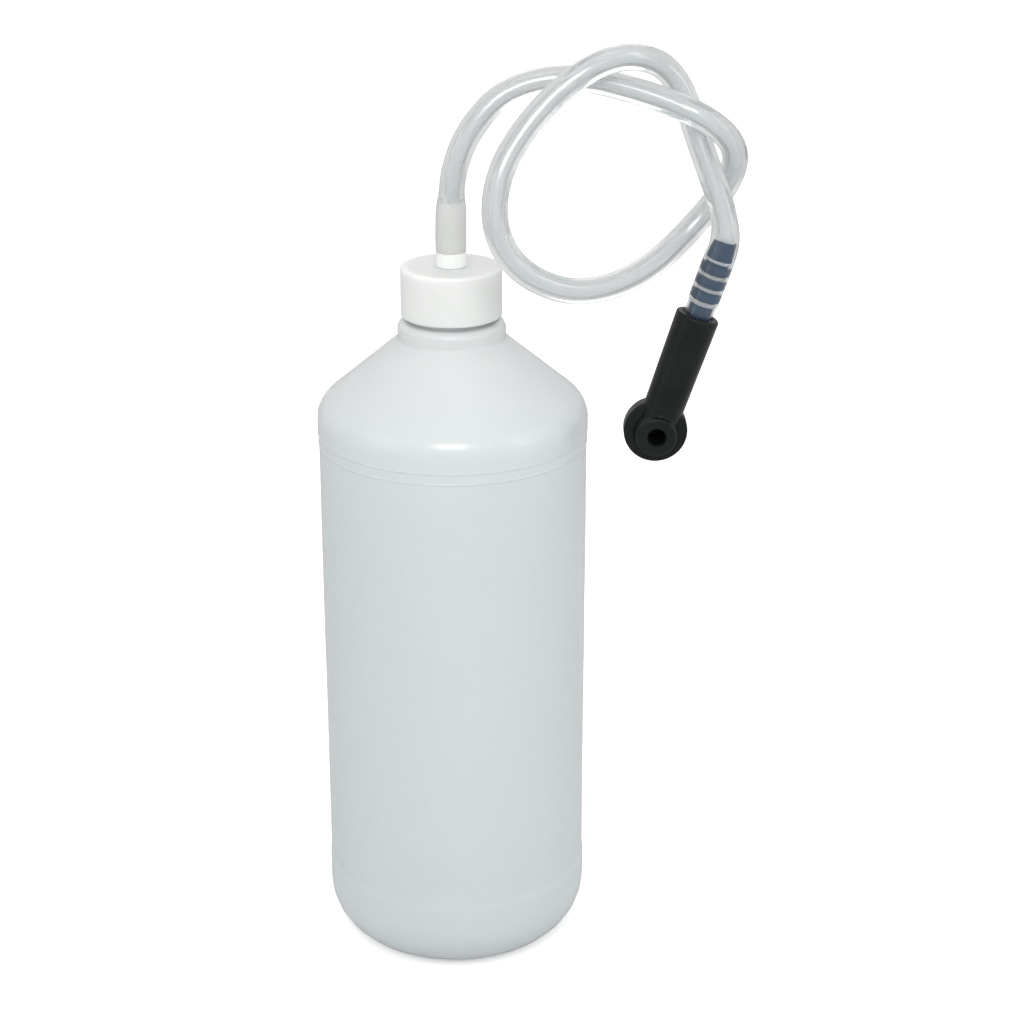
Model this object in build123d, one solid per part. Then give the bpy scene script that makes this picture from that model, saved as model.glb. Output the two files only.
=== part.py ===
from build123d import *
import os
from math import cos, pi, radians, sin, sqrt, tan

# One-person brake bleeding bottle. Millimetres, +Z up.
# The origin is the centre of the ring that the bottle stands on.

# ---------------------------------------------------------------- bottle
bottle_h = 229.1            # standing ring to sealing lip
bottle_d = 86.0             # over the shoulder land and the base land
bottle_wall = 1.2
panel_recess = 0.3          # label panel, in from the lands
panel_step_h = 0.5          # height of each small step at the panel's edges
panel_bead_w = 3.4          # intermediate band at the panel's top edge
shoulder_land_h = 8.5       # sharp shoulder corner down to the first step
base_land_h = 27.0          # standing ring up to the panel
base_corner_r = 17.4
shoulder_corner_r = 9.5
shoulder_angle = 40.0       # slope of the shoulder cone
push_up_h = 3.0             # dome under the bottle
standing_ring_w = 2.6

neck_length = 14.7          # neck bead to sealing lip
neck_bead_d = 34.0
neck_bead_h = 5.6
neck_bead_crown_r = 2.4
neck_core_d = 25.1          # 28 mm neck finish
neck_thread_d = 27.4
neck_bore_d = 21.0
neck_root_r = 2.0           # inside, where the bore opens into the shoulder
lip_edge_r = 0.4
thread_pitch = 4.23         # six turns to the inch
thread_turns = 2.0
thread_root_w = 2.3
thread_crest_w = 0.9
thread_top_gap = 2.4        # lip down to the thread's highest point
thread_embed = 0.25         # how far a thread ridge runs into its wall

# ---------------------------------------------------------------- cap and liner
cap_h = 15.7
cap_top_t = 1.6
cap_edge_r = 0.9
cap_thread_gap = 0.2        # radial, over the neck thread and over its core
cap_skirt_t = 2.0
cap_d = neck_thread_d + 2 * (cap_thread_gap + cap_skirt_t)
cap_thread_crest_w = 1.2
cap_lead_in = 0.5
liner_t = 1.0
liner_gap = 0.2             # liner's rim to the cap's wall
liner_bore_d = 18.4
vent_d = 1.2
vent_r = 8.35               # breather hole's distance from the cap's axis

# ---------------------------------------------------------------- hose spigot and its valve
collar_h = 4.6
collar_edge_r = 0.4
stem_d = 8.0
collar_lip_w = 0.8          # radial, collar over the stem, and what rests on the cap
collar_d = stem_d + 2 * collar_lip_w
stem_gap = 0.05             # radial, stem in the cap
stem_edge = 0.4
spigot_barb_d = 6.4
spigot_core_d = 5.3
spigot_tip_d = 4.9
spigot_first_band = 2.2     # collar to the first groove
spigot_grooves = 3
spigot_groove_w = 0.95
spigot_pitch = 3.65
spigot_tip_l = 4.6
spigot_bore_d = 3.0
seat_depth = 4.0            # cap's top down to the valve seat's edge
chamber_d = 5.0
ball_d = 4.4
ball_gap = 0.03             # ball off its seat, so the two only just touch
ball_travel = 1.2
spring_free_h = 6.0
spring_wire_d = 0.4
spring_d = 4.4
spring_turns = 6
retainer_h = 3.0
retainer_bore_d = 2.2
gasket_d = 14.0
gasket_t = 1.2
nut_across_flats = 13.0
nut_h = 4.0
nut_chamfer = 0.5

# ---------------------------------------------------------------- hose
hose_d = 8.0
hose_bore_d = 3.6
hose_over_spigot_d = 9.6
hose_over_joiner_d = 9.8
hose_end_d = 8.9
sleeve_taper_l = 4.5        # over which a stretched end narrows to the hose's own size
sleeve_under = 0.4          # a taper ends this far inside the hose's skin

# ---------------------------------------------------------------- bleed nipple elbow
head_offset = (64.3, -6.0, -56.6)   # elbow head's centre from the collar's top
elbow_tilt = 18.2           # sleeve's lean from the vertical, towards +X
sleeve_l = 39.8             # head's centre to the sleeve's mouth
sleeve_mouth_d = 13.8
sleeve_root_d = 12.5
mouth_edge_r = 0.5
mouth_bore_d = 9.6
mouth_depth = 3.2
sleeve_bore_gap = 0.05      # radial, joiner's barbs in the sleeve
sleeve_bore_l = 29.6
passage_d = 3.0
head_d = 20.2
head_front = 2.0            # head's centre to the disc's front face
head_back = 4.2
head_edge_r = 0.8
hub_d = 14.5                # root of the nipple boss, and the hub behind the disc
hub_back = 6.4
hub_edge_r = 1.2
boss_d = 12.0
boss_front = 8.0            # head's centre to the boss's front face
boss_edge_r = 0.6
nipple_bore_d = 5.2
nipple_bore_l = 11.0
nipple_chamfer = 0.5

# ---------------------------------------------------------------- barbed joiner
joiner_barb_d = 6.8
joiner_core_d = 5.2
joiner_tip_step = 0.5       # radial, barb down to the root of the tip
joiner_tip_taper = 0.4      # radial, over the tip's length
joiner_tip_root_d = joiner_barb_d - 2 * joiner_tip_step
joiner_tip_d = joiner_tip_root_d - 2 * joiner_tip_taper
joiner_bore_d = 3.0
joiner_barbs = 3
joiner_pitch = 4.45
joiner_band_w = 2.7
joiner_waist_l = 6.35       # collar to the first barb
joiner_tip_l = 5.9
joiner_collar_d = 8.4
joiner_collar_w = 2.0
hose_tuck = 1.0             # how far the hose's end runs into the sleeve's mouth

# ---------------------------------------------------------------- heights and radii that follow
bottle_r = bottle_d / 2
panel_r = bottle_r - panel_recess
cavity_r = panel_r - bottle_wall
bead_r = neck_bead_d / 2
bead_top = bottle_h - neck_length
bead_foot = bead_top - neck_bead_h
slope = tan(radians(shoulder_angle))
shoulder_z = bead_foot - (bottle_r - bead_r) * slope
neck_thread_foot = bottle_h - thread_top_gap - thread_root_w / 2 - thread_pitch * thread_turns
cap_top = bottle_h + liner_t + cap_top_t
cap_foot = cap_top - cap_h
cap_ceiling = cap_top - cap_top_t
cap_inner_r = neck_thread_d / 2 + cap_thread_gap
collar_top = cap_top + collar_h
spigot_tip_z = collar_top + spigot_first_band + (spigot_grooves - 1) * spigot_pitch + spigot_groove_w
spigot_top = spigot_tip_z + spigot_tip_l
seat_z = cap_top - seat_depth
# a ball in a 45 degree seat has its centre this far below the seat's edge
ball_z = seat_z - (ball_d * sqrt(2) / 2 - spigot_bore_d / 2) - ball_gap
spring_inner_r = spring_d / 2 - spring_wire_d
spring_top = ball_z - sqrt((ball_d / 2) ** 2 - spring_inner_r ** 2) - ball_gap
spring_foot = spring_top - spring_free_h
stem_foot = spring_foot - retainer_h

head = Vector(head_offset[0], head_offset[1], collar_top + head_offset[2])
sleeve_dir = Vector(sin(radians(elbow_tilt)), 0, cos(radians(elbow_tilt)))
mouth = head + sleeve_dir * sleeve_l
hose_end = mouth - sleeve_dir * hose_tuck
joiner_top_l = joiner_waist_l - hose_tuck + joiner_barbs * joiner_pitch + joiner_tip_l

# The hose leaves the spigot upwards, ties a loose overhand knot beside the cap
# and hangs down to the elbow. Heights are above the collar's top.
hose_entry_l = 28.5         # sleeve's mouth up to the hose's last free corner
hose_entry_lean = 0.25      # keeps the last three points out of line
hose_entry_mid_l = 13.5
hose_knot = [
    (0.0, 0.0, 0.0),
    (0.0, 0.0, 13.7),
    (1.0, 0.0, 26.2),
    (6.5, 0.5, 39.0),
    (18.0, 3.5, 50.2),
    (38.5, 4.5, 53.7),
    (61.5, -1.5, 48.7),
    (78.0, -7.0, 42.7),
    (87.4, -1.5, 33.2),
    (86.9, 6.5, 20.7),
    (75.0, 6.5, 5.2),
    (59.0, -4.5, -6.8),
    (40.0, -14.5, -10.3),
    (23.0, -19.5, -3.3),
    (13.5, -20.0, 9.7),
    (14.0, -17.0, 27.2),
    (24.5, -10.0, 43.2),
    (39.5, -6.5, 56.7),
    (54.5, -1.5, 61.5),
    (69.0, 8.0, 54.5),
    (77.0, 0.5, 31.2),
]

os.makedirs("parts", exist_ok=True)


def revolved(points, fillets=()):
    """Solid of revolution about Z from (r, z) corners; fillets are (r, z, radius)."""
    face = make_face(Plane.XZ * Polyline(*points, close=True))
    for r, z, radius in fillets:
        corner = face.vertices().sort_by_distance(Vector(r, 0, z))[0]
        face = fillet(corner, radius)
    return revolve(face, Axis.Z)


def ring(outer_r, inner_r, foot, top):
    """Plain annular solid about Z between two heights."""
    tall = top - foot
    body = Cylinder(outer_r, tall, align=(Align.CENTER, Align.CENTER, Align.MIN))
    hole = Cylinder(inner_r, tall, align=(Align.CENTER, Align.CENTER, Align.MIN))
    return Pos(0, 0, foot) * (body - hole)


def ridge(wall_r, depth, root_w, crest_w, foot):
    """Helical thread ridge on a wall; a negative depth stands inwards."""
    path = Helix(thread_pitch, thread_pitch * thread_turns, wall_r, center=(0, 0, foot))
    embed = thread_embed if depth > 0 else -thread_embed
    outline = Polyline(
        (-embed, -root_w / 2),
        (depth, -crest_w / 2),
        (depth, crest_w / 2),
        (-embed, root_w / 2),
        close=True,
    )
    start = Plane(origin=path @ 0, x_dir=(1, 0, 0), z_dir=path % 0)
    return sweep(start * make_face(outline), path=path, is_frenet=True)


def make_bottle():
    """Blow-moulded bottle: thin hollow wall, recessed label panel, threaded neck."""
    ring_out = bottle_r - base_corner_r
    ring_in = ring_out - standing_ring_w
    step_z = shoulder_z - shoulder_land_h
    bead_z = step_z - panel_bead_w
    band_r = bottle_r - panel_recess / 2
    outline = [
        (0, push_up_h),
        (ring_in / 2, push_up_h * 0.8),
        (ring_in, 0),
        (bottle_r, 0),
        (bottle_r, base_land_h),
        (panel_r, base_land_h + panel_step_h),
        (panel_r, bead_z - panel_step_h),
        (band_r, bead_z),
        (band_r, step_z - panel_step_h),
        (bottle_r, step_z),
        (bottle_r, shoulder_z),
        (bead_r, bead_foot),
        (bead_r, bead_top),
        (neck_core_d / 2, bead_top),
        (neck_core_d / 2, bottle_h),
        (0, bottle_h),
    ]
    outer = revolved(
        outline,
        [
            (bottle_r, 0, base_corner_r),
            (bottle_r, shoulder_z, shoulder_corner_r),
            (bead_r, bead_top, neck_bead_crown_r),
            (neck_core_d / 2, bottle_h, lip_edge_r),
        ],
    )
    drop = bottle_wall / cos(radians(shoulder_angle))
    bore_r = neck_bore_d / 2
    inner_shoulder_z = bead_foot - (cavity_r - bead_r) * slope - drop
    inner_neck_z = bead_foot + (bead_r - bore_r) * slope - drop
    hollow = [
        (0, push_up_h + bottle_wall),
        (ring_in / 2, push_up_h * 0.8 + bottle_wall),
        (ring_in, bottle_wall),
        (cavity_r, bottle_wall),
        (cavity_r, inner_shoulder_z),
        (bore_r, inner_neck_z),
        (bore_r, bottle_h + lip_edge_r),
        (0, bottle_h + lip_edge_r),
    ]
    cavity = revolved(
        hollow,
        [
            (cavity_r, bottle_wall, base_corner_r - bottle_wall),
            (cavity_r, inner_shoulder_z, shoulder_corner_r - bottle_wall),
            (bore_r, inner_neck_z, neck_root_r),
        ],
    )
    depth = (neck_thread_d - neck_core_d) / 2
    thread = ridge(neck_core_d / 2, depth, thread_root_w, thread_crest_w, neck_thread_foot)
    return outer - cavity + thread


def make_cap():
    """Moulded screw cap with a plain wall, internal thread, spigot hole and breather."""
    shell = revolved(
        [
            (0, cap_foot),
            (cap_d / 2, cap_foot),
            (cap_d / 2, cap_top),
            (0, cap_top),
        ],
        [(cap_d / 2, cap_top, cap_edge_r)],
    )
    inside = revolved(
        [
            (0, cap_foot - cap_lead_in),
            (cap_inner_r + 2 * cap_lead_in, cap_foot - cap_lead_in),
            (cap_inner_r, cap_foot + cap_lead_in),
            (cap_inner_r, cap_ceiling),
            (0, cap_ceiling),
        ]
    )
    hole = Pos(0, 0, cap_ceiling) * Cylinder(stem_d / 2 + stem_gap, 3 * cap_top_t)
    vent = Pos(0, vent_r, cap_ceiling) * Cylinder(vent_d / 2, 3 * cap_top_t)
    depth = cap_inner_r - (neck_core_d / 2 + cap_thread_gap)
    root_w = cap_thread_crest_w + (thread_root_w - thread_crest_w)
    # half a pitch above the neck's thread, so each ridge lies midway between two turns
    foot = neck_thread_foot + thread_pitch / 2
    thread = ridge(cap_inner_r, -depth, root_w, cap_thread_crest_w, foot)
    return shell - inside - hole - vent + thread


def make_liner():
    """Soft sealing washer between the neck's lip and the cap."""
    return ring(cap_inner_r - liner_gap, liner_bore_d / 2, bottle_h, cap_ceiling)


def make_spigot():
    """Barbed hose fitting whose stem goes through the cap and holds the valve."""
    barb_r = spigot_barb_d / 2
    core_r = spigot_core_d / 2
    outline = [
        (0, stem_foot),
        (stem_d / 2 - stem_edge, stem_foot),
        (stem_d / 2, stem_foot + stem_edge),
        (stem_d / 2, cap_top),
        (collar_d / 2, cap_top),
        (collar_d / 2, collar_top),
        (barb_r, collar_top),
    ]
    z = collar_top + spigot_first_band
    for _ in range(spigot_grooves):
        groove_top = z + spigot_groove_w
        outline += [(barb_r, z), (core_r, z), (core_r, groove_top), (barb_r, groove_top)]
        z += spigot_pitch
    outline += [(spigot_tip_d / 2, spigot_top), (0, spigot_top)]
    body = revolved(outline, [(collar_d / 2, collar_top, collar_edge_r)])
    spread = (chamber_d - spigot_bore_d) / 2
    passage = revolved(
        [
            (0, stem_foot - stem_edge),
            (chamber_d / 2, stem_foot - stem_edge),
            (chamber_d / 2, seat_z - spread),
            (spigot_bore_d / 2, seat_z),
            (spigot_bore_d / 2, spigot_top + stem_edge),
            (0, spigot_top + stem_edge),
        ]
    )
    return body - passage


def make_gasket():
    """Rubber washer on the stem under the cap."""
    return ring(gasket_d / 2, stem_d / 2 + stem_gap, cap_ceiling - gasket_t, cap_ceiling)


def make_nut():
    """Hexagon back nut that clamps the spigot through the cap."""
    top = cap_ceiling - gasket_t
    hexagon = RegularPolygon(nut_across_flats / 2, 6, major_radius=False)
    blank = Pos(0, 0, top - nut_h) * extrude(hexagon, nut_h)
    corner_r = nut_across_flats / 2 / cos(pi / 6)
    rounded = revolved(
        [
            (0, top - nut_h),
            (corner_r - 2 * nut_chamfer, top - nut_h),
            (corner_r, top - nut_h + nut_chamfer),
            (corner_r, top),
            (0, top),
        ]
    )
    hole = Pos(0, 0, top - nut_h) * Cylinder(stem_d / 2, 3 * nut_h)
    return (blank & rounded) - hole


def make_ball():
    return Pos(0, 0, ball_z) * Sphere(ball_d / 2)


def make_spring():
    """Light compression spring that holds the ball up against its seat."""
    turns_h = spring_free_h - spring_wire_d
    coil = Helix(turns_h / spring_turns, turns_h, (spring_d - spring_wire_d) / 2)
    wire = Plane(origin=coil @ 0, z_dir=coil % 0) * Circle(spring_wire_d / 2)
    return Pos(0, 0, spring_foot + spring_wire_d / 2) * sweep(wire, path=coil, is_frenet=True)


def make_retainer():
    """Pressed-in ring that closes the valve chamber under the spring."""
    return ring(chamber_d / 2, retainer_bore_d / 2, stem_foot, spring_foot)


def along_sleeve(shape):
    """Moves a shape made about Z, zero at the sleeve's mouth, onto the sleeve's axis."""
    return Plane(origin=mouth, x_dir=(0, 1, 0), z_dir=sleeve_dir) * shape


def joiner_tail():
    """(r, z) corners of one barbed tail above the collar, ending on the axis."""
    core_r = joiner_core_d / 2
    barb_r = joiner_barb_d / 2
    z = joiner_waist_l - hose_tuck
    corners = [(core_r, -hose_tuck)]
    for _ in range(joiner_barbs):
        corners += [(core_r, z), (barb_r, z), (barb_r, z + joiner_band_w)]
        corners.append((core_r, z + joiner_band_w))
        z += joiner_pitch
    corners += [(core_r, z), (joiner_tip_root_d / 2, z)]
    corners += [(joiner_tip_d / 2, z + joiner_tip_l), (0, z + joiner_tip_l)]
    return corners


def make_joiner():
    """Double-ended barbed joiner: one tail in the hose, the other in the elbow."""
    upper = joiner_tail()
    middle = -hose_tuck - joiner_collar_w / 2
    lower = [(r, 2 * middle - z) for r, z in reversed(upper)]
    collar_r = joiner_collar_d / 2
    collar = [(collar_r, -hose_tuck - joiner_collar_w), (collar_r, -hose_tuck)]
    body = revolved(lower + collar + upper)
    bore = Pos(0, 0, middle) * Cylinder(joiner_bore_d / 2, 4 * joiner_top_l)
    return along_sleeve(body - bore)


def hose_route():
    """Corner points of the hose's line and the arc radius at each corner."""
    points = [Vector(x, y, collar_top + z) for x, y, z in hose_knot]
    points.append(mouth + sleeve_dir * hose_entry_l + Vector(hose_entry_lean, 0, 0))
    points.append(mouth + sleeve_dir * hose_entry_mid_l)
    points.append(hose_end)
    radii = []
    for before, corner, after in zip(points, points[1:], points[2:]):
        into = corner - before
        out = after - corner
        half_turn = radians(into.get_angle(out)) / 2
        radii.append(0.45 * min(into.length, out.length) / tan(half_turn))
    return points, radii


def make_hose():
    """Thick-walled hose, its ends stretched over the spigot's and the joiner's barbs."""
    points, radii = hose_route()
    path = FilletPolyline(*points, radius=radii)
    section = Plane(origin=path @ 0, z_dir=path % 0)
    skin = sweep(section * Circle(hose_d / 2), path=path)
    core = sweep(section * Circle(hose_bore_d / 2), path=path)

    skin_r = hose_d / 2 - sleeve_under
    core_r = hose_bore_d / 2 - sleeve_under
    first_cuff = revolved(
        [
            (0, collar_top),
            (hose_over_spigot_d / 2, collar_top),
            (hose_over_spigot_d / 2, spigot_tip_z),
            (skin_r, spigot_top + sleeve_taper_l),
            (0, spigot_top + sleeve_taper_l),
        ]
    )
    first_bore = revolved(
        [
            (0, collar_top),
            (spigot_barb_d / 2, collar_top),
            (spigot_barb_d / 2, spigot_top),
            (core_r, spigot_top + sleeve_taper_l),
            (0, spigot_top + sleeve_taper_l),
        ]
    )
    waist = joiner_waist_l - hose_tuck
    last_cuff = revolved(
        [
            (0, -hose_tuck),
            (hose_end_d / 2, -hose_tuck),
            (hose_end_d / 2, waist / 2),
            (hose_over_joiner_d / 2, waist),
            (hose_over_joiner_d / 2, joiner_top_l - sleeve_taper_l),
            (hose_end_d / 2, joiner_top_l),
            (skin_r, joiner_top_l + sleeve_taper_l),
            (0, joiner_top_l + sleeve_taper_l),
        ]
    )
    last_bore = revolved(
        [
            (0, -hose_tuck),
            (joiner_core_d / 2, -hose_tuck),
            (joiner_core_d / 2, waist / 2),
            (joiner_barb_d / 2, waist),
            (joiner_barb_d / 2, joiner_top_l - joiner_tip_l),
            (joiner_tip_root_d / 2, joiner_top_l),
            (core_r, joiner_top_l + sleeve_taper_l),
            (0, joiner_top_l + sleeve_taper_l),
        ]
    )
    body = skin + first_cuff + along_sleeve(last_cuff)
    hose = body - core - first_bore - along_sleeve(last_bore)
    print("hose arc radii:", ", ".join(f"{radius:.1f}" for radius in radii))
    print(f"hose length {path.length:.1f}, section x length {pi * hose_d ** 2 / 4 * path.length:.0f}",
          f"swept {skin.volume:.0f}")
    return hose


def make_elbow():
    """Moulded rubber right-angle adaptor that pushes over a bleed nipple."""
    sleeve = revolved(
        [
            (0, -sleeve_l),
            (sleeve_root_d / 2, -sleeve_l),
            (sleeve_mouth_d / 2, 0),
            (0, 0),
        ],
        [(sleeve_mouth_d / 2, 0, mouth_edge_r)],
    )
    gap_r = joiner_barb_d / 2 + sleeve_bore_gap
    bores = revolved(
        [
            (0, -sleeve_l),
            (passage_d / 2, -sleeve_l),
            (passage_d / 2, -sleeve_bore_l),
            (gap_r, -sleeve_bore_l),
            (gap_r, -mouth_depth),
            (mouth_bore_d / 2, -mouth_depth),
            (mouth_bore_d / 2, mouth_edge_r),
            (0, mouth_edge_r),
        ]
    )
    # the head is turned about the nipple's axis, its front towards -Y
    turned = revolved(
        [
            (0, -hub_back),
            (hub_d / 2, -hub_back),
            (hub_d / 2, -head_back),
            (head_d / 2, -head_back),
            (head_d / 2, head_front),
            (hub_d / 2, head_front),
            (boss_d / 2, boss_front),
            (0, boss_front),
        ],
        [
            (hub_d / 2, -hub_back, hub_edge_r),
            (head_d / 2, -head_back, head_edge_r),
            (head_d / 2, head_front, head_edge_r),
            (boss_d / 2, boss_front, boss_edge_r),
        ],
    )
    nipple_r = nipple_bore_d / 2
    cavity = revolved(
        [
            (0, boss_front - nipple_bore_l),
            (nipple_r, boss_front - nipple_bore_l),
            (nipple_r, boss_front - nipple_chamfer),
            (nipple_r + 2 * nipple_chamfer, boss_front + nipple_chamfer),
            (0, boss_front + nipple_chamfer),
        ]
    )
    facing = Plane(origin=head, x_dir=(1, 0, 0), z_dir=(0, -1, 0))
    body = along_sleeve(sleeve) + facing * turned
    return body - along_sleeve(bores) - facing * cavity


pieces = {
    "bottle": make_bottle,
    "cap": make_cap,
    "cap_liner": make_liner,
    "hose_spigot": make_spigot,
    "spigot_gasket": make_gasket,
    "spigot_nut": make_nut,
    "check_ball": make_ball,
    "check_spring": make_spring,
    "valve_retainer": make_retainer,
    "hose": make_hose,
    "barbed_joiner": make_joiner,
    "bleed_elbow": make_elbow,
}

for node, make in pieces.items():
    export_step(make(), f"parts/{node}.step")
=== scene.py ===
import bpy
from math import atan2, ceil, cos, exp, floor as whole, pi, radians, sin, tan
from mathutils import Matrix, Vector, noise


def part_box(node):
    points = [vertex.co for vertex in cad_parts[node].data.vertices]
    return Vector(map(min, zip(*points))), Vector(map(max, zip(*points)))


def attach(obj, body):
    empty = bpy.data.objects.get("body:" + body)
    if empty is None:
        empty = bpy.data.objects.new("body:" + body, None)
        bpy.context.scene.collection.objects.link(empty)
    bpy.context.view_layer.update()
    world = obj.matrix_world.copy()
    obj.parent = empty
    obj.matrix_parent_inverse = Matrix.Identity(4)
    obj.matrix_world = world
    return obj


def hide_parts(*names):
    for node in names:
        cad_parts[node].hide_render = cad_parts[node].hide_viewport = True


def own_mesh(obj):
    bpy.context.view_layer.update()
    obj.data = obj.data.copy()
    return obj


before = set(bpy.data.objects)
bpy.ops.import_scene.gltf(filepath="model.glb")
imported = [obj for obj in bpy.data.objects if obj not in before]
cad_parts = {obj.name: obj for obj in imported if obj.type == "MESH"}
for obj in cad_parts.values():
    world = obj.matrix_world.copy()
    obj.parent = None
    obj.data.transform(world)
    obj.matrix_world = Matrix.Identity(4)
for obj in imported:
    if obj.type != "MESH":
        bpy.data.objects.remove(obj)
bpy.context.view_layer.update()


# ---------------------------------------------------------------- studio
# A plain white table, a soft key light just above the lens, a wide overhead softbox,
# two side panels and a fill behind: an even, nearly shadowless product setting.
mm = 0.001
scene = bpy.context.scene
scene.view_settings.view_transform = "Standard"

lens = bpy.data.cameras.new("product_camera")
lens.lens = 80.603
lens.sensor_width = 36.0
camera = bpy.data.objects.new("product_camera", lens)
camera.location = (0.01892, -0.69091, 0.42120)
camera.rotation_euler = (radians(68.521), 0.0, 0.0)
scene.collection.objects.link(camera)
scene.camera = camera

surround = bpy.data.worlds.new("white_surround")
scene.world = surround
surround.use_nodes = True
sky = surround.node_tree.nodes["Background"]
sky.inputs["Strength"].default_value = 1.0
direction = surround.node_tree.nodes.new("ShaderNodeTexCoord")
depth_axis = surround.node_tree.nodes.new("ShaderNodeSeparateXYZ")
front_to_back = surround.node_tree.nodes.new("ShaderNodeMapRange")
front_to_back.inputs["From Min"].default_value = -0.6
front_to_back.inputs["From Max"].default_value = 1.0
room_tone = surround.node_tree.nodes.new("ShaderNodeValToRGB")
room_tone.color_ramp.elements[0].position = 0.0
room_tone.color_ramp.elements[0].color = (0.81, 0.82, 0.82, 1.0)
room_tone.color_ramp.elements[1].position = 1.0
room_tone.color_ramp.elements[1].color = (0.73, 0.725, 0.72, 1.0)
surround.node_tree.links.new(direction.outputs["Generated"], depth_axis.inputs["Vector"])
surround.node_tree.links.new(depth_axis.outputs["Y"], front_to_back.inputs["Value"])
surround.node_tree.links.new(front_to_back.outputs["Result"], room_tone.inputs["Fac"])
surround.node_tree.links.new(room_tone.outputs["Color"], sky.inputs["Color"])


def softbox(name, azimuth, elevation, distance, width, height, watts, tint=(1.0, 1.0, 1.0)):
    """Rectangular light aimed at the middle of the object from a given direction."""
    light = bpy.data.lights.new(name, "AREA")
    light.shape = "RECTANGLE"
    light.size = width
    light.size_y = height
    light.energy = watts
    light.color = tint
    lamp = bpy.data.objects.new(name, light)
    aim = Vector((0.02, 0.0, 0.17))
    side = Vector((sin(azimuth) * cos(elevation), -cos(azimuth) * cos(elevation), sin(elevation)))
    lamp.location = aim + side * distance
    lamp.rotation_euler = side.to_track_quat("Z", "Y").to_euler()
    scene.collection.objects.link(lamp)
    return lamp


softbox("key_above_lens", radians(-2), radians(34), 1.1, 0.46, 0.32, 4.0, (1.0, 0.995, 0.98))
softbox("overhead", radians(0), radians(80), 1.3, 0.9, 0.7, 0.6)
softbox("left_panel", radians(-62), radians(15), 1.2, 0.20, 0.8, 0.9)
softbox("right_panel", radians(62), radians(25), 1.2, 0.20, 0.8, 1.5)
softbox("back_fill", radians(180), radians(35), 1.4, 1.0, 0.6, 1.6)

table_mesh = bpy.data.meshes.new("table_top")
table_mesh.from_pydata([(-4, -4, 0), (4, -4, 0), (4, 4, 0), (-4, 4, 0)], [], [(0, 1, 2, 3)])
table_top = bpy.data.objects.new("table_top", table_mesh)
scene.collection.objects.link(table_top)
table_finish = bpy.data.materials.new("white_table")
table_finish.use_nodes = True
table_shader = table_finish.node_tree.nodes["Principled BSDF"]
table_seen = table_finish.node_tree.nodes.new("ShaderNodeLightPath")
table_tone = table_finish.node_tree.nodes.new("ShaderNodeMix")
table_tone.data_type = "RGBA"
table_tone.inputs["A"].default_value = (0.68, 0.68, 0.68, 1.0)
table_tone.inputs["B"].default_value = (0.98, 0.98, 0.98, 1.0)
table_finish.node_tree.links.new(table_seen.outputs["Is Camera Ray"], table_tone.inputs["Factor"])
table_finish.node_tree.links.new(table_tone.outputs["Result"], table_shader.inputs["Base Color"])
table_lift = table_finish.node_tree.nodes.new("ShaderNodeMath")
table_lift.operation = "MULTIPLY"
table_lift.inputs[1].default_value = 0.36
table_finish.node_tree.links.new(table_seen.outputs["Is Camera Ray"], table_lift.inputs[0])
table_finish.node_tree.links.new(table_lift.outputs["Value"], table_shader.inputs["Emission Strength"])
table_shader.inputs["Emission Color"].default_value = (1.0, 1.0, 1.0, 1.0)
table_shader.inputs["Roughness"].default_value = 0.9
table_shader.inputs["Specular IOR Level"].default_value = 0.1
table_mesh.materials.append(table_finish)


# ---------------------------------------------------------------- bottle
# One litre bottle, extrusion-blown in natural high-density polyethylene: a thin
# hollow wall with a recessed label panel, a pushed-up base, a mould seam down each
# side and a 28 mm screw neck that is formed in the same shot.
bottle_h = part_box("bottle")[1].z / mm
bottle_r = 43.0
panel_r = 42.7
cavity_r = 41.5
bottle_wall = 1.2
neck_r = 12.55
neck_bore_r = 10.5
neck_bead_r = 17.0
neck_thread_pitch = 4.23
neck_thread_turns = 2.0
neck_thread_depth = 1.15
thread_root_half = 1.15
thread_crest_half = 0.45
neck_thread_foot = bottle_h - 2.4 - thread_root_half - neck_thread_pitch * neck_thread_turns
neck_bead_top = bottle_h - 14.7
neck_bead_foot = neck_bead_top - 5.6
shoulder_angle = radians(40.0)
shoulder_slope = tan(shoulder_angle)
shoulder_z = neck_bead_foot - (bottle_r - neck_bead_r) * shoulder_slope


def rounded(corners, steps=7, longest=None):
    """Profile line through (r, z, radius) corners, each turned into an arc of its radius."""
    flat = [Vector((r, z)) for r, z, _ in corners]
    line = [flat[0]]
    for before, corner, after, (_, _, radius) in zip(flat, flat[1:], flat[2:], corners[1:]):
        if radius == 0:
            line.append(corner)
            continue
        back = (before - corner).normalized()
        ahead = (after - corner).normalized()
        half = back.angle(ahead) / 2
        centre = corner + (back + ahead).normalized() * (radius / sin(half))
        first = corner + back * (radius / tan(half)) - centre
        last = corner + ahead * (radius / tan(half)) - centre
        turn = atan2(first.x * last.y - first.y * last.x, first.dot(last))
        for k in range(steps + 1):
            angle = turn * k / steps
            line.append(centre + Matrix.Rotation(angle, 2) @ first)
    line.append(flat[-1])
    if longest is None:
        return line
    fine = [line[0]]
    for a, b in zip(line, line[1:]):
        parts = max(1, ceil((b - a).length / longest(a, b)))
        fine += [a.lerp(b, k / parts) for k in range(1, parts + 1)]
    return fine


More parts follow.
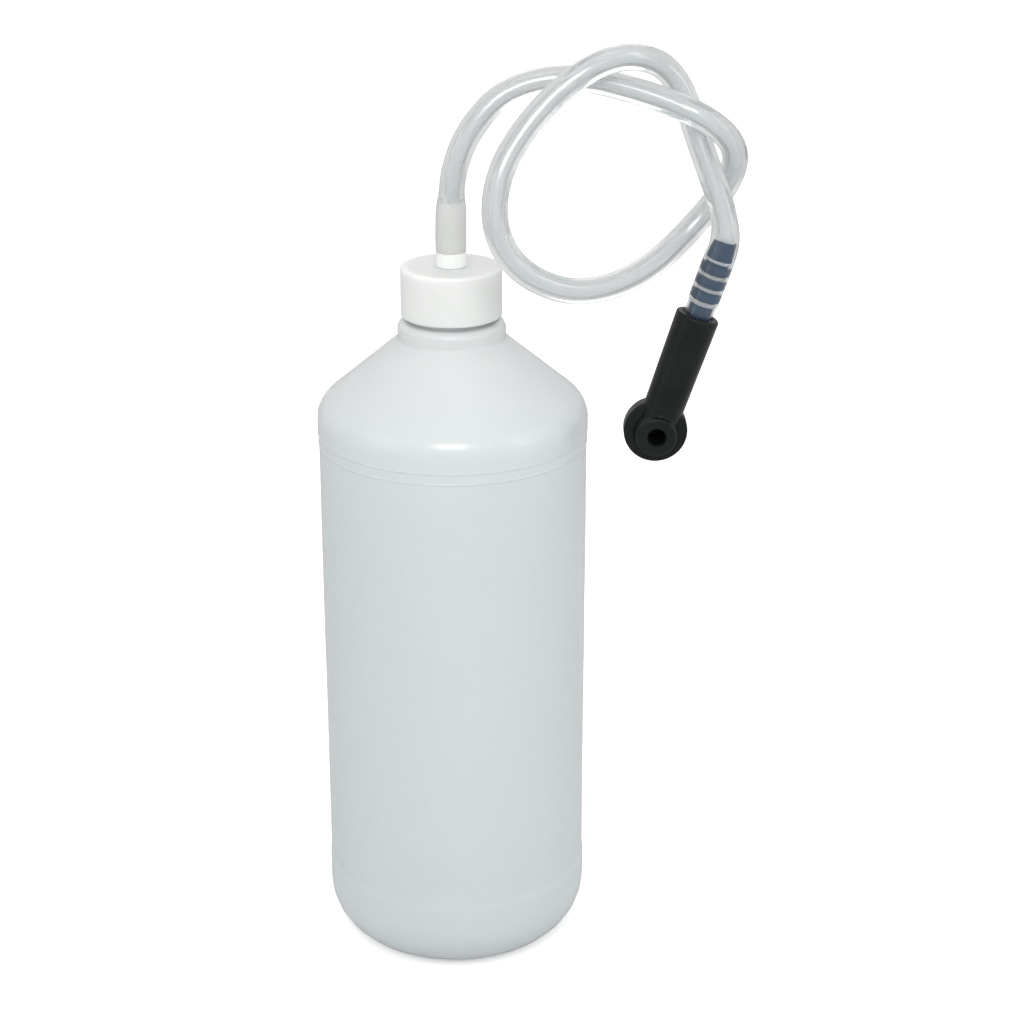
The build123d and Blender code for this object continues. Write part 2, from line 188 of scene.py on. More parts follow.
def turned(name, line, angles, shape=None, closed=False, crease=35.0):
    """Mesh turned about +Z from an (r, z) line in millimetres; shape may move each point."""
    points = []
    rings = []
    for r, z in line:
        if r < 1e-6:
            rings.append([len(points)])
            points.append((0.0, 0.0, z * mm))
            continue
        rings.append(list(range(len(points), len(points) + len(angles))))
        for angle in angles:
            rr, zz = shape(r, z, angle) if shape else (r, z)
            points.append((rr * cos(angle) * mm, rr * sin(angle) * mm, zz * mm))
    faces = []
    pairs = list(zip(rings, rings[1:]))
    if closed:
        pairs.append((rings[-1], rings[0]))
    count = len(angles)
    for low, high in pairs:
        for k in range(count):
            n = (k + 1) % count
            if len(low) == 1 and len(high) == 1:
                continue
            if len(low) == 1:
                faces.append((low[0], high[n], high[k]))
            elif len(high) == 1:
                faces.append((low[k], low[n], high[0]))
            else:
                faces.append((low[k], low[n], high[n], high[k]))
    mesh = bpy.data.meshes.new(name)
    mesh.from_pydata(points, [], faces)
    mesh.validate()
    mesh.shade_smooth()
    mesh.set_sharp_from_angle(angle=radians(crease))
    piece = bpy.data.objects.new(name, mesh)
    scene.collection.objects.link(piece)
    return piece


def thread_height(z, angle, foot, turns, pitch, root_half, crest_half):
    """0 to 1 across a helical ridge that fades out over a tenth of a turn at each end."""
    lead = angle % (2 * pi) / (2 * pi)
    best = 0.0
    for lap in range(-1, whole(turns) + 2):
        travel = lead + lap
        if travel < 0 or travel > turns:
            continue
        away = abs(z - foot - travel * pitch)
        flank = min(1.0, max(0.0, (root_half - away) / (root_half - crest_half)))
        fade = min(1.0, travel / 0.10, (turns - travel) / 0.10)
        best = max(best, flank * fade)
    return best


def bottle_outside():
    """Foot, label panel, two fine beads under the shoulder, shoulder, neck bead and lip."""
    step_z = shoulder_z - 8.5
    return rounded(
        [
            (0.0, 3.0, 0.0),
            (9.0, 2.7, 30.0),
            (18.0, 1.3, 20.0),
            (22.6, 0.0, 2.5),
            (bottle_r, 0.0, 17.4),
            (bottle_r, 25.6, 3.0),
            (panel_r, 28.6, 3.0),
            (panel_r, step_z - 4.3, 0.3),
            (42.94, step_z - 3.7, 0.08),
            (42.94, step_z - 3.55, 0.08),
            (42.83, step_z - 3.32, 0.2),
            (42.83, step_z - 0.8, 0.3),
            (43.06, step_z - 0.3, 0.08),
            (43.06, step_z - 0.15, 0.08),
            (42.99, step_z + 0.05, 0.2),
            (bottle_r, shoulder_z, 9.5),
            (neck_bead_r, neck_bead_foot, 1.4),
            (neck_bead_r, neck_bead_top, 2.4),
            (neck_r, neck_bead_top, 0.35),
            (neck_r, bottle_h, 0.4),
            (11.4, bottle_h, 0.0),
        ],
        longest=lambda a, b: 0.3 if min(a.y, b.y) > neck_bead_top - 0.1 else 2.6,
    )


def bottle_inside():
    """The wall's inner side, from the lip down to the middle of the pushed-up base."""
    drop = bottle_wall / cos(shoulder_angle)
    top_z = neck_bead_foot - (cavity_r - neck_bead_r) * shoulder_slope - drop
    return rounded(
        [
            (11.4, bottle_h, 0.0),
            (neck_bore_r, bottle_h, 0.4),
            (neck_bore_r, neck_bead_foot + (neck_bead_r - neck_bore_r) * shoulder_slope - drop, 2.0),
            (cavity_r, top_z, 8.3),
            (cavity_r, 1.3, 16.1),
            (22.4, 1.3, 3.0),
            (18.0, 2.6, 18.0),
            (9.0, 4.0, 28.0),
            (0.0, 4.3, 0.0),
        ],
        longest=lambda a, b: 4.0,
    )


def blown_wall(r, z, angle):
    """Mould seam, neck thread and the faint unevenness of a blown wall."""
    around = Vector((cos(angle), sin(angle), z / 46.0))
    if r > 14.0:
        r += 0.10 * noise.noise(around * 1.3 + Vector((3.1, 0.4, 7.7)))
        r += 0.035 * noise.noise(around * 3.7)
    seam = min(angle % pi, pi - angle % pi) * r
    if 12.0 < r and 1.0 < z < neck_bead_top:
        r += 0.09 * exp(-((seam / 0.22) ** 2))
    if neck_bead_top < z < bottle_h - 0.6 and r > 12.0:
        r += neck_thread_depth * thread_height(
            z, angle, neck_thread_foot, neck_thread_turns, neck_thread_pitch,
            thread_root_half, thread_crest_half,
        )
    return r, z


even = [2 * pi * k / 240 for k in range(240)]
seam_steps = [0.12, 0.24, 0.36, 0.6, 0.95]
near_seams = []
for side in (0, pi):
    for sign in (-1, 1):
        near_seams += [(side + sign * radians(step)) % (2 * pi) for step in seam_steps]
bottle_angles = sorted(even + near_seams)
bottle = turned("bottle_body", bottle_outside(), bottle_angles, blown_wall, crease=60.0)
lining = turned("bottle_lining", bottle_inside(), bottle_angles, crease=60.0)


def joined(name, *pieces):
    """Several meshes made into one, with the points that coincide welded."""
    for piece in bpy.context.selected_objects:
        piece.select_set(False)
    for piece in pieces:
        piece.select_set(True)
    bpy.context.view_layer.objects.active = pieces[0]
    bpy.ops.object.join()
    whole_piece = bpy.context.view_layer.objects.active
    whole_piece.name = name
    whole_piece.data.name = name
    weld = whole_piece.modifiers.new("weld", "WELD")
    weld.merge_threshold = 0.00001
    bpy.ops.object.modifier_apply(modifier="weld")
    return whole_piece


bottle = joined("bottle_body", bottle, lining)


def skin_group():
    """Shader group shared by every moulded piece: mottling, fine pitting and height."""
    group = bpy.data.node_groups.new("moulded_skin", "ShaderNodeTree")
    for label, value in (("Cloud Scale", 20.0), ("Grain Scale", 900.0), ("Stretch", 1.0)):
        socket = group.interface.new_socket(label, in_out="INPUT", socket_type="NodeSocketFloat")
        socket.default_value = value
    for label in ("Cloud", "Grain", "Height"):
        group.interface.new_socket(label, in_out="OUTPUT", socket_type="NodeSocketFloat")
    nodes, links = group.nodes, group.links
    given = nodes.new("NodeGroupInput")
    made = nodes.new("NodeGroupOutput")
    where = nodes.new("ShaderNodeTexCoord")
    squeeze = nodes.new("ShaderNodeCombineXYZ")
    squeeze.inputs["X"].default_value = 1.0
    squeeze.inputs["Y"].default_value = 1.0
    scaled = nodes.new("ShaderNodeVectorMath")
    scaled.operation = "MULTIPLY"
    links.new(given.outputs["Stretch"], squeeze.inputs["Z"])
    links.new(where.outputs["Object"], scaled.inputs[0])
    links.new(squeeze.outputs["Vector"], scaled.inputs[1])
    cloud = nodes.new("ShaderNodeTexNoise")
    cloud.inputs["Detail"].default_value = 4.0
    cloud.inputs["Roughness"].default_value = 0.55
    grain = nodes.new("ShaderNodeTexNoise")
    grain.inputs["Detail"].default_value = 2.0
    for texture, socket in ((cloud, "Cloud Scale"), (grain, "Grain Scale")):
        links.new(scaled.outputs["Vector"], texture.inputs["Vector"])
        links.new(given.outputs[socket], texture.inputs["Scale"])
    both = nodes.new("ShaderNodeMath")
    both.operation = "MULTIPLY_ADD"
    both.inputs[1].default_value = 0.25
    links.new(grain.outputs["Fac"], both.inputs[0])
    links.new(cloud.outputs["Fac"], both.inputs[2])
    links.new(cloud.outputs["Fac"], made.inputs["Cloud"])
    links.new(grain.outputs["Fac"], made.inputs["Grain"])
    links.new(both.outputs["Value"], made.inputs["Height"])
    return group


moulded_skin = skin_group()


def finish(name, dark, light, rough, skin, bump, fixed):
    """Material of one moulded piece: two close colours and a roughness range follow the skin.

    skin is (cloud scale, grain scale, stretch); bump is (strength, distance in mm);
    fixed holds the shader's own uniform sockets.
    """
    material = bpy.data.materials.new(name)
    material.use_nodes = True
    nodes, links = material.node_tree.nodes, material.node_tree.links
    shader = nodes["Principled BSDF"]
    surface = nodes.new("ShaderNodeGroup")
    surface.node_tree = moulded_skin
    for socket, value in zip(("Cloud Scale", "Grain Scale", "Stretch"), skin):
        surface.inputs[socket].default_value = value
    tint = nodes.new("ShaderNodeValToRGB")
    tint.color_ramp.interpolation = "EASE"
    tint.color_ramp.elements[0].position = 0.2
    tint.color_ramp.elements[1].position = 0.8
    tint.color_ramp.elements[0].color = (*dark, 1.0)
    tint.color_ramp.elements[1].color = (*light, 1.0)
    links.new(surface.outputs["Cloud"], tint.inputs["Fac"])
    links.new(tint.outputs["Color"], shader.inputs["Base Color"])
    gloss = nodes.new("ShaderNodeMapRange")
    gloss.interpolation_type = "SMOOTHSTEP"
    gloss.inputs["From Min"].default_value = 0.2
    gloss.inputs["From Max"].default_value = 0.8
    gloss.inputs["To Min"].default_value = rough[0]
    gloss.inputs["To Max"].default_value = rough[1]
    links.new(surface.outputs["Cloud"], gloss.inputs["Value"])
    links.new(gloss.outputs["Result"], shader.inputs["Roughness"])
    relief = nodes.new("ShaderNodeBump")
    relief.inputs["Strength"].default_value = bump[0]
    relief.inputs["Distance"].default_value = bump[1] * mm
    links.new(surface.outputs["Height"], relief.inputs["Height"])
    links.new(relief.outputs["Normal"], shader.inputs["Normal"])
    for socket, value in fixed.items():
        shader.inputs[socket].default_value = value
    return material


bottle_plastic = finish(
    "natural_polyethylene",
    (0.855, 0.905, 0.925), (0.885, 0.93, 0.945), (0.20, 0.28), (14.0, 700.0, 0.35), (0.08, 0.05),
    {"Transmission Weight": 0.40, "IOR": 1.48},
)


def paint_light_on_top(material, light_start_z, light_full_z, colour):
    """Paints the plastic whiter towards its top: painted light that brightens the shoulder and neck bead and
    lifts the shade under the cap.
    """
    nodes, links = material.node_tree.nodes, material.node_tree.links
    shader = nodes["Principled BSDF"]
    place = nodes.new("ShaderNodeTexCoord")
    height = nodes.new("ShaderNodeSeparateXYZ")
    links.new(place.outputs["Object"], height.inputs["Vector"])
    # painted light: no whitening below the first height, full whitening from the second height up
    painted_light_rise = nodes.new("ShaderNodeMapRange")
    painted_light_rise.interpolation_type = "SMOOTHSTEP"
    painted_light_rise.inputs["From Min"].default_value = light_start_z * mm
    painted_light_rise.inputs["From Max"].default_value = light_full_z * mm
    links.new(height.outputs["Z"], painted_light_rise.inputs["Value"])
    blend = nodes.new("ShaderNodeMix")
    blend.data_type = "RGBA"
    blend.inputs["B"].default_value = (*colour, 1.0)
    links.new(painted_light_rise.outputs["Result"], blend.inputs["Factor"])
    links.new(shader.inputs["Base Color"].links[0].from_socket, blend.inputs["A"])
    links.new(blend.outputs["Result"], shader.inputs["Base Color"])


# Painted light: the bottle is painted whiter from 150 mm up to the neck bead.
paint_light_on_top(bottle_plastic, 150.0, 214.0, (0.94, 0.965, 0.965))
bottle.data.materials.clear()
bottle.data.materials.append(bottle_plastic)
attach(bottle, "bottle")
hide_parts("bottle")


# ---------------------------------------------------------------- cap liner
# Soft foam washer that seals the lip. It is punched from sheet and drops loose
# into the cap before the cap is screwed on.
liner_foam = finish(
    "liner_foam",
    (0.70, 0.70, 0.66), (0.80, 0.80, 0.77), (0.75, 0.9), (260.0, 1800.0, 1.0), (0.5, 0.15),
    {"IOR": 1.45},
)
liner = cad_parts["cap_liner"]
liner.data.materials.clear()
liner.data.materials.append(liner_foam)


# ---------------------------------------------------------------- cap
# Plain-sided screw cap, injection moulded in natural white polyethylene, drilled
# through its roof for the hose spigot and for a small breather behind it.
cap_low, cap_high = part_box("cap")
cap_foot = cap_low.z / mm
cap_top = cap_high.z / mm
cap_ceiling = cap_top - 1.6
cap_r = 15.9
cap_bore_r = 13.9
stem_hole_r = 4.05


def cap_shape(r, z, angle):
    """Thread ridge that stands inwards from the cap's skirt, half a pitch off the neck's."""
    if 13.0 < r < 14.2 and z < cap_ceiling - 0.3:
        r -= 1.1 * thread_height(
            z, angle, neck_thread_foot + neck_thread_pitch / 2, neck_thread_turns, neck_thread_pitch, 1.3, 0.6
        )
    return r, z


cap_line = rounded(
    [
        (stem_hole_r, cap_ceiling, 0.0),
        (stem_hole_r, cap_top, 0.25),
        (cap_r, cap_top, 0.9),
        (cap_r, cap_foot, 0.5),
        (14.4, cap_foot, 0.3),
        (cap_bore_r, cap_foot + 0.6, 0.0),
        (cap_bore_r, cap_ceiling, 0.3),
        (stem_hole_r, cap_ceiling, 0.0),
    ],
    longest=lambda a, b: 0.3 if max(a.x, b.x) < 14.2 and min(a.x, b.x) > 13.5 else 1.5,
)
cap_angles = [2 * pi * k / 180 for k in range(180)]
cap = turned("screw_cap", cap_line[:-1], cap_angles, cap_shape, closed=True, crease=50.0)


def drill(name, radius, depth, centre, along=(0.0, 0.0, 1.0), sides=40):
    """Cylinder used to cut a hole; centre and sizes in millimetres."""
    half = depth / 2
    line = [Vector((0.0, -half)), Vector((radius, -half)), Vector((radius, half)), Vector((0.0, half))]
    tool = turned(name, line, [2 * pi * k / sides for k in range(sides)])
    aim = Vector((0, 0, 1)).rotation_difference(Vector(along)).to_matrix().to_4x4()
    tool.data.transform(Matrix.Translation(Vector(centre) * mm) @ aim)
    return tool


def cut(piece, tool):
    """Takes the tool's volume out of the piece and throws the tool away."""
    knife = piece.modifiers.new("cut", "BOOLEAN")
    knife.operation = "DIFFERENCE"
    knife.solver = "EXACT"
    knife.object = tool
    bpy.context.view_layer.objects.active = piece
    bpy.ops.object.modifier_apply(modifier="cut")
    bpy.data.objects.remove(tool)


cut(cap, drill("breather_drill", 0.6, 6.0, (0.0, 8.35, cap_top)))
cap.data.shade_smooth()
cap.data.set_sharp_from_angle(angle=radians(40))
cap_plastic = finish(
    "natural_white_cap",
    (0.85, 0.85, 0.825), (0.88, 0.88, 0.855), (0.30, 0.40), (60.0, 1100.0, 1.0), (0.12, 0.05),
    {"IOR": 1.5, "Subsurface Weight": 0.8, "Subsurface Scale": 0.006, "Subsurface Radius": (1.0, 0.95, 0.9)},
)
cap.data.materials.clear()
cap.data.materials.append(cap_plastic)
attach(cap, "cap")
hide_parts("cap")


# ---------------------------------------------------------------- hose spigot and valve
# Moulded fitting with three grooves for the hose above a round collar. Its stem
# goes down through the cap, a rubber washer and a hexagon nut, and houses a ball
# and a light spring kept in by a pressed ring.
spigot_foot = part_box("hose_spigot")[0].z / mm
spigot_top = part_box("hose_spigot")[1].z / mm
collar_top = cap_top + 4.6
tail_r = 3.2
tail_groove_r = 2.65
tail_groove_w = 0.95
tail_groove_pitch = 3.65
valve_seat_z = cap_top - 4.0


def spigot_profile():
    """Stem, collar, grooved tail and the passage, which widens below into the valve chamber."""
    corners = [(2.5, spigot_foot, 0.0), (3.6, spigot_foot, 0.0), (4.0, spigot_foot + 0.4, 0.0)]
    corners += [(4.0, cap_top, 0.0), (4.8, cap_top, 0.15), (4.8, collar_top, 0.45), (tail_r, collar_top, 0.0)]
    z = collar_top + 2.2
    for _ in range(3):
        corners += [(tail_r, z, 0.15), (tail_groove_r, z, 0.1)]
        corners += [(tail_groove_r, z + tail_groove_w, 0.1), (tail_r, z + tail_groove_w, 0.2)]
        z += tail_groove_pitch
    corners += [(2.45, spigot_top, 0.3), (1.5, spigot_top, 0.15)]
    corners += [(1.5, valve_seat_z, 0.0), (2.5, valve_seat_z - 1.0, 0.0), (2.5, spigot_foot, 0.0)]
    return rounded(corners, steps=4, longest=lambda a, b: 2.0)


spigot = turned(
    "barbed_spigot", spigot_profile()[:-1], [2 * pi * k / 96 for k in range(96)], closed=True, crease=40.0
)
spigot_plastic = finish(
    "natural_spigot",
    (0.84, 0.855, 0.845), (0.88, 0.89, 0.88), (0.28, 0.38), (80.0, 1300.0, 1.0), (0.10, 0.05),
    {"IOR": 1.5, "Subsurface Weight": 0.3, "Subsurface Scale": 0.002, "Subsurface Radius": (1.0, 0.9, 0.8)},
)
spigot.data.materials.append(spigot_plastic)
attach(spigot, "cap")
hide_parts("hose_spigot")

washer_rubber = finish(
    "washer_rubber",
    (0.018, 0.018, 0.019), (0.035, 0.035, 0.036), (0.55, 0.75), (150.0, 1500.0, 1.0), (0.3, 0.08),
    {"IOR": 1.52},
)
valve_steel = finish(
    "valve_steel",
    (0.50, 0.50, 0.51), (0.64, 0.64, 0.65), (0.12, 0.28), (400.0, 4000.0, 1.0), (0.08, 0.02),
    {"Metallic": 1.0},
)
inner_nodes = (
    ("spigot_gasket", washer_rubber),
    ("spigot_nut", spigot_plastic),
    ("valve_retainer", spigot_plastic),
    ("check_ball", valve_steel),
)
for node, material in inner_nodes:
    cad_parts[node].data.materials.clear()
    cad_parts[node].data.materials.append(material)
    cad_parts[node].data.shade_smooth()
    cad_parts[node].data.set_sharp_from_angle(angle=radians(30))

spring_low, spring_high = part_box("check_spring")
spring_l = (spring_high.z - spring_low.z) / mm
spring_turns = 6
spring_coil_r = 2.0
spring_wire_r = 0.19


def coil_spring():
    """Round wire wound into an open coil, with half a turn lying level at each end."""
    sides = 12
    steps = 40
    rise = spring_l - 2 * spring_wire_r
    path = []
    for k in range(spring_turns * steps + 1):
        lap = k / steps
        climb = min(1.0, max(0.0, (lap - 0.5) / (spring_turns - 1.0)))
        angle = 2 * pi * lap
        height = spring_wire_r + 0.01 + rise * climb * 0.996
        path.append(Vector((spring_coil_r * cos(angle), spring_coil_r * sin(angle), height)))
    points, faces = [], []
    for k, centre in enumerate(path):
        outward = Vector((centre.x, centre.y, 0.0)).normalized()
        for n in range(sides):
            around = 2 * pi * n / sides
            spot = centre + outward * (spring_wire_r * cos(around))
            spot += Vector((0, 0, 1)) * (spring_wire_r * sin(around))
            points.append((spot.x * mm, spot.y * mm, spot.z * mm + spring_low.z))
    for k in range(len(path) - 1):
        for n in range(sides):
            m = (n + 1) % sides
            faces.append((k * sides + n, k * sides + m, (k + 1) * sides + m, (k + 1) * sides + n))
    faces.append(tuple(range(sides - 1, -1, -1)))
    faces.append(tuple(len(points) - sides + n for n in range(sides)))
    mesh = bpy.data.meshes.new("valve_spring")
    mesh.from_pydata(points, [], faces)
    mesh.validate()
    mesh.shade_smooth()
    mesh.set_sharp_from_angle(angle=radians(50))
    coil = bpy.data.objects.new("valve_spring", mesh)
    scene.collection.objects.link(coil)
    return coil


valve_spring = coil_spring()
valve_spring.data.materials.append(valve_steel)
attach(valve_spring, "cap")
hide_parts("check_spring")
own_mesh(valve_spring)


# ---------------------------------------------------------------- barbed joiner
# Double-ended joiner moulded in translucent blue plastic: one barbed tail is in the
# hose's end, the other, the same, in the elbow's sleeve, and a collar parts them.
head = Vector((64.3, -6.0, collar_top - 56.6))
lean = radians(18.2)
sleeve_l = 39.8
sleeve_dir = Vector((sin(lean), 0.0, cos(lean)))
mouth = head + sleeve_dir * sleeve_l
sleeve_turn = Matrix.Translation(mouth * mm) @ Matrix.Rotation(lean, 4, "Y")


def joiner_profile():
    """The upper tail's line, its mirror image for the lower one, and the collar between."""
    core_r = 2.6
    barb_r = 3.4
    barb_w = 2.7
    tip_l = 5.9
    upper = [(core_r, -1.0, 0.0)]
    z = 5.35
    for _ in range(3):
        upper += [(core_r, z, 0.15), (barb_r, z, 0.2), (barb_r, z + barb_w, 0.2), (core_r, z + barb_w, 0.15)]
        z += 4.45
    upper += [(core_r, z, 0.1), (2.9, z, 0.15), (2.5, z + tip_l, 0.35), (1.5, z + tip_l, 0.15)]
    lower = [(r, -4.0 - zz, radius) for r, zz, radius in reversed(upper)]
    collar = [(4.2, -3.0, 0.3), (4.2, -1.0, 0.3)]
    closing = [(1.5, -4.0 - z - tip_l, 0.0)]
    return rounded(lower + collar + upper + closing, steps=4, longest=lambda a, b: 1.5)


joiner = turned(
    "barbed_tails", joiner_profile()[:-1], [2 * pi * k / 96 for k in range(96)], closed=True, crease=40.0
)
joiner.data.transform(sleeve_turn)
joiner_plastic = finish(
    "translucent_blue",
    (0.006, 0.048, 0.120), (0.011, 0.068, 0.160), (0.16, 0.26), (120.0, 1500.0, 1.0), (0.08, 0.04),
    {"Transmission Weight": 0.10, "IOR": 1.49},
)
joiner.data.materials.append(joiner_plastic)
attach(joiner, "cap")
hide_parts("barbed_joiner")


# ---------------------------------------------------------------- elbow
# Right-angle adaptor moulded in black rubber. Its sleeve grips the joiner, and the
# round boss on its head pushes over a brake bleed nipple.
facing = Matrix.Translation(head * mm) @ Matrix.Rotation(pi / 2, 4, "X")
elbow_sides = [2 * pi * k / 128 for k in range(128)]


def elbow_block():
    """The outside of the elbow, fused from its turned shapes and softened at the joints."""
    sleeve = turned(
        "sleeve",
        rounded(
            [(0, -sleeve_l, 0), (6.25, -sleeve_l, 2.0), (6.9, 0.0, 0.75), (4.4, 0.0, 0.0), (0, 0.0, 0)],
            longest=lambda a, b: 1.5,
        ),
        elbow_sides,
    )
    sleeve.data.transform(sleeve_turn)
    disc = turned(
        "disc",
        rounded(
            [
                (0, -6.4, 0), (7.25, -6.4, 1.2), (7.25, -4.2, 0.5), (10.1, -4.2, 0.9),
                (10.1, 2.0, 0.8), (7.25, 2.0, 0.4), (6.05, 8.0, 0.55), (0, 8.0, 0),
            ],
            longest=lambda a, b: 1.2,
        ),
        elbow_sides,
    )
    disc.data.transform(facing)
    block = joined("rubber_elbow", sleeve, disc)
    fuse = block.modifiers.new("fuse", "REMESH")
    fuse.mode = "VOXEL"
    fuse.voxel_size = 0.26 * mm
    fuse.adaptivity = 0.0
    bpy.ops.object.modifier_apply(modifier="fuse")
    soften = block.modifiers.new("soften", "SMOOTH")
    soften.factor = 0.5
    soften.iterations = 5
    bpy.ops.object.modifier_apply(modifier="soften")
    return block


elbow = elbow_block()
bore_sides = [2 * pi * k / 72 for k in range(72)]
bores = turned(
    "sleeve_bores",
    rounded(
        [
            (0, -sleeve_l, 0), (1.5, -sleeve_l, 0), (1.5, -29.6, 0), (3.45, -29.6, 0), (3.45, -3.2, 0),
            (4.8, -3.2, 0.2), (4.8, -0.3, 0.0), (5.4, 0.8, 0.0), (0, 0.8, 0),
        ],
        steps=3,
    ),
    bore_sides,
)
bores.data.transform(sleeve_turn)
cut(elbow, bores)
nipple = turned(
    "nipple_bore",
    rounded([(0, -3.0, 0), (2.6, -3.0, 0), (2.6, 7.3, 0.4), (3.3, 8.4, 0), (0, 8.4, 0)], steps=4),
    bore_sides,
)
nipple.data.transform(facing)
cut(elbow, nipple)
elbow.data.shade_smooth()
elbow.data.set_sharp_from_angle(angle=radians(38))
elbow_rubber = finish(
    "black_rubber",
    (0.0035, 0.0045, 0.0042), (0.0085, 0.0100, 0.0096), (0.26, 0.46), (110.0, 1400.0, 1.0), (0.30, 0.08),
    {"IOR": 1.52, "Specular IOR Level": 0.18},
)
elbow.data.materials.clear()
elbow.data.materials.append(elbow_rubber)
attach(elbow, "elbow")
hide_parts("bleed_elbow")


# ---------------------------------------------------------------- hose
# Clear flexible vinyl hose, 8 mm outside with a 3.6 mm bore, cut to 0.41 m. Each end
# is pushed over barbs and stretches there; between them it is tied in a loose
# overhand knot that holds its shape.
hose_corners = [
    (0.0, 0.0, 0.0), (0.0, 0.0, 13.7), (1.0, 0.0, 26.2), (6.5, 0.5, 39.0), (18.0, 3.5, 50.2),
    (38.5, 4.5, 53.7), (61.5, -1.5, 48.7), (78.0, -7.0, 42.7), (87.4, -1.5, 33.2), (86.9, 6.5, 20.7),
    (75.0, 6.5, 5.2), (59.0, -4.5, -6.8), (40.0, -14.5, -10.3), (23.0, -19.5, -3.3), (13.5, -20.0, 9.7),
    (14.0, -17.0, 27.2), (24.5, -10.0, 43.2), (39.5, -6.5, 56.7), (54.5, -1.5, 61.5), (69.0, 8.0, 54.5),
    (77.0, 0.5, 31.2), (85.8827, -6.0, 8.2828), (80.9474, -6.0, -5.9665), (76.4186, -6.0, -19.7411),
]
hose_exit = Vector((0.0, 0.0, collar_top))
route = bpy.data.curves.new("hose_route", "CURVE")
route.dimensions = "3D"
route.resolution_u = 52
spline = route.splines.new("NURBS")
spline.points.add(len(hose_corners) - 1)
for point, corner in zip(spline.points, hose_corners):
    point.co = (*((hose_exit + Vector(corner)) * mm), 1.0)
spline.order_u = 3
spline.use_endpoint_u = True
route_object = bpy.data.objects.new("hose_route", route)
scene.collection.objects.link(route_object)
bpy.context.view_layer.update()
traced = bpy.data.meshes.new_from_object(route_object)
hose_path = []
for vertex in traced.vertices:
    if not hose_path or (vertex.co - hose_path[-1]).length > 0.02 * mm:
        hose_path.append(Vector(vertex.co))
bpy.data.objects.remove(route_object)
bpy.data.meshes.remove(traced)
travelled = [0.0]
for a, b in zip(hose_path, hose_path[1:]):
    travelled.append(travelled[-1] + (b - a).length / mm)
hose_length = travelled[-1]


def between(table, s):
    """Reads a table of (place, value) pairs at s, with eased steps between them."""
    for (s0, v0), (s1, v1) in zip(table, table[1:]):
        if s <= s1:
            t = max(0.0, (s - s0) / (s1 - s0))
            return v0 + (v1 - v0) * t * t * (3 - 2 * t)
    return table[-1][1]


far = hose_length
hose_skin = [
    (0.0, 4.72), (0.6, 4.82), (5.0, 4.85), (12.0, 4.80), (19.5, 4.0),
    (far - 33.0, 4.0), (far - 25.5, 4.55), (far - 19.5, 4.9), (far - 17.5, 4.93), (far - 6.6, 4.88),
    (far - 4.0, 4.5), (far - 0.4, 4.4), (far, 4.3),
]
hose_hollow = [
    (0.0, 2.5), (10.5, 2.5), (15.0, 2.3), (18.0, 1.7),
    (far - 29.0, 1.7), (far - 25.7, 2.05), (far - 21.0, 2.4),
]
for groove in (19.3, 14.4, 9.95, 5.5):
    hose_hollow += [(far - groove - 0.65, 2.5), (far - groove - 0.35, 3.0)]
    hose_hollow += [(far - groove + 0.35, 3.0), (far - groove + 0.65, 2.5)]
hose_hollow.append((far, 2.5))


clear, bore, stretched, whitened = range(4)
spigot_grip = 15.6
joiner_grip = 26.5


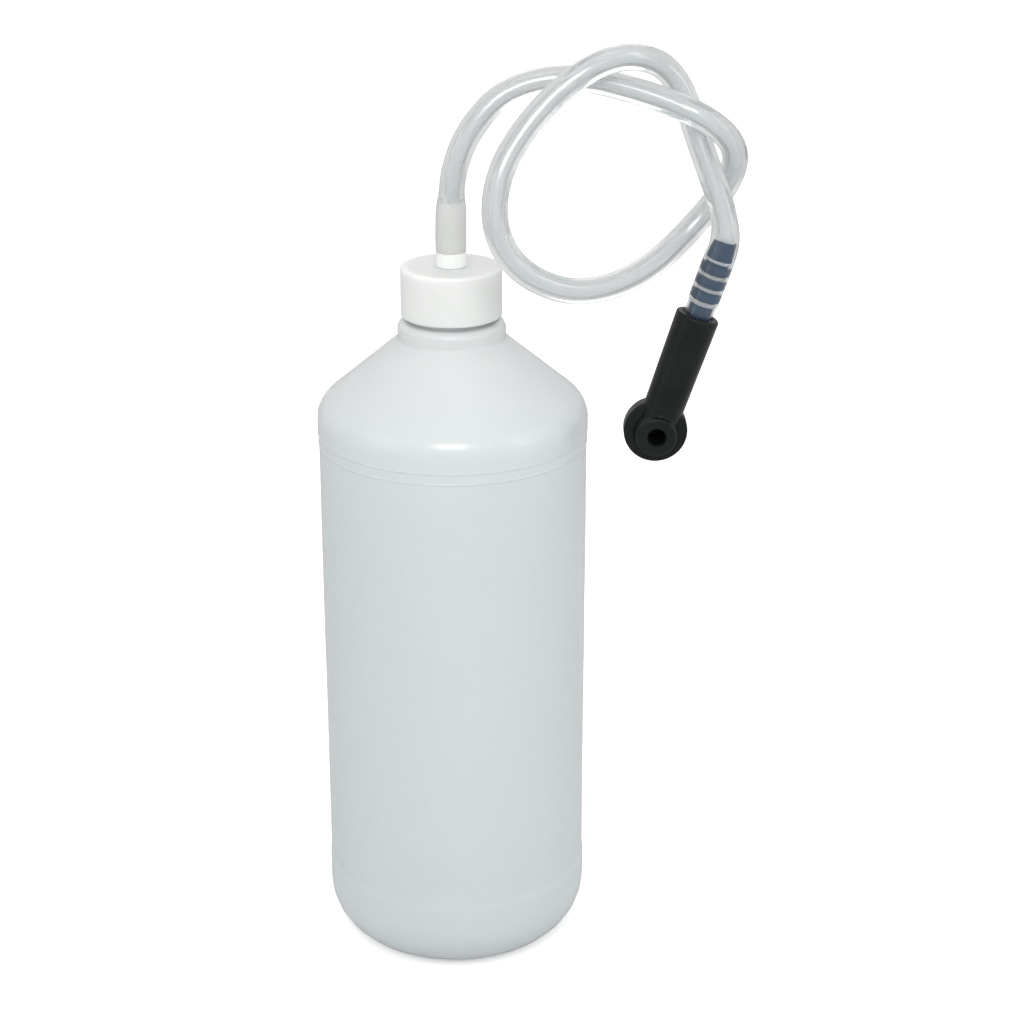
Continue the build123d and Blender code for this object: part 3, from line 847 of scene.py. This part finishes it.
def hose_tube():
    """Thick-walled tube swept along the route without twisting."""
    sides = 48
    tangents = []
    for k in range(len(hose_path)):
        ahead = hose_path[min(k + 1, len(hose_path) - 1)]
        behind = hose_path[max(k - 1, 0)]
        tangents.append((ahead - behind).normalized())
    across = Vector((1.0, 0.0, 0.0))
    across = (across - tangents[0] * across.dot(tangents[0])).normalized()
    skins, hollows = [], []
    for k, (centre, along) in enumerate(zip(hose_path, tangents)):
        if k:
            across = tangents[k - 1].rotation_difference(along) @ across
            across = (across - along * across.dot(along)).normalized()
        other = along.cross(across)
        ring = [across * cos(2 * pi * n / sides) + other * sin(2 * pi * n / sides) for n in range(sides)]
        s = travelled[k]
        skins.append([centre + d * (between(hose_skin, s) * mm) for d in ring])
        hollows.append([centre + d * (between(hose_hollow, s) * mm) for d in ring])
    rings = skins + hollows[::-1]
    points = [p for ring in rings for p in ring]
    faces = []
    for k in range(len(rings)):
        low = k * sides
        high = (k + 1) % len(rings) * sides
        for n in range(sides):
            m = (n + 1) % sides
            faces.append((low + n, low + m, high + m, high + n))
    mesh = bpy.data.meshes.new("vinyl_hose")
    mesh.from_pydata(points, [], faces)
    mesh.validate()
    zones = []
    for s in travelled:
        if s < spigot_grip:
            zones.append(whitened)
        elif s > far - joiner_grip:
            zones.append(stretched)
        else:
            zones.append(clear)
    for polygon in mesh.polygons:
        ring_number = polygon.index // sides
        if ring_number >= len(skins):
            polygon.material_index = bore
        else:
            polygon.material_index = zones[ring_number]
    mesh.shade_smooth()
    mesh.set_sharp_from_angle(angle=radians(50))
    tube = bpy.data.objects.new("vinyl_hose", mesh)
    scene.collection.objects.link(tube)
    return tube


hose = hose_tube()
hose_vinyl = finish(
    "clear_vinyl",
    (0.945, 0.965, 0.97), (0.965, 0.98, 0.985), (0.14, 0.19), (45.0, 900.0, 1.0), (0.03, 0.03),
    {"Transmission Weight": 0.97, "IOR": 1.46, "Coat Weight": 0.8, "Coat Roughness": 0.14, "Coat IOR": 1.55},
)
stretched_vinyl = finish(
    "stretched_vinyl",
    (0.97, 0.98, 0.98), (0.985, 0.99, 0.99), (0.12, 0.18), (45.0, 900.0, 1.0), (0.06, 0.04),
    {"Transmission Weight": 0.98, "IOR": 1.45},
)
bore_vinyl = finish(
    "hazy_bore",
    (0.95, 0.975, 0.985), (0.97, 0.99, 0.99), (0.45, 0.55), (45.0, 900.0, 1.0), (0.06, 0.04),
    {"Transmission Weight": 0.45, "IOR": 1.45},
)
whitened_vinyl = finish(
    "whitened_vinyl",
    (0.985, 0.985, 0.98), (0.995, 0.995, 0.99), (0.16, 0.24), (45.0, 900.0, 1.0), (0.06, 0.04),
    {"Transmission Weight": 0.70, "IOR": 1.45},
)
hose.data.materials.append(hose_vinyl)
hose.data.materials.append(bore_vinyl)
hose.data.materials.append(stretched_vinyl)
hose.data.materials.append(whitened_vinyl)
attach(hose, "cap")
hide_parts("hose")
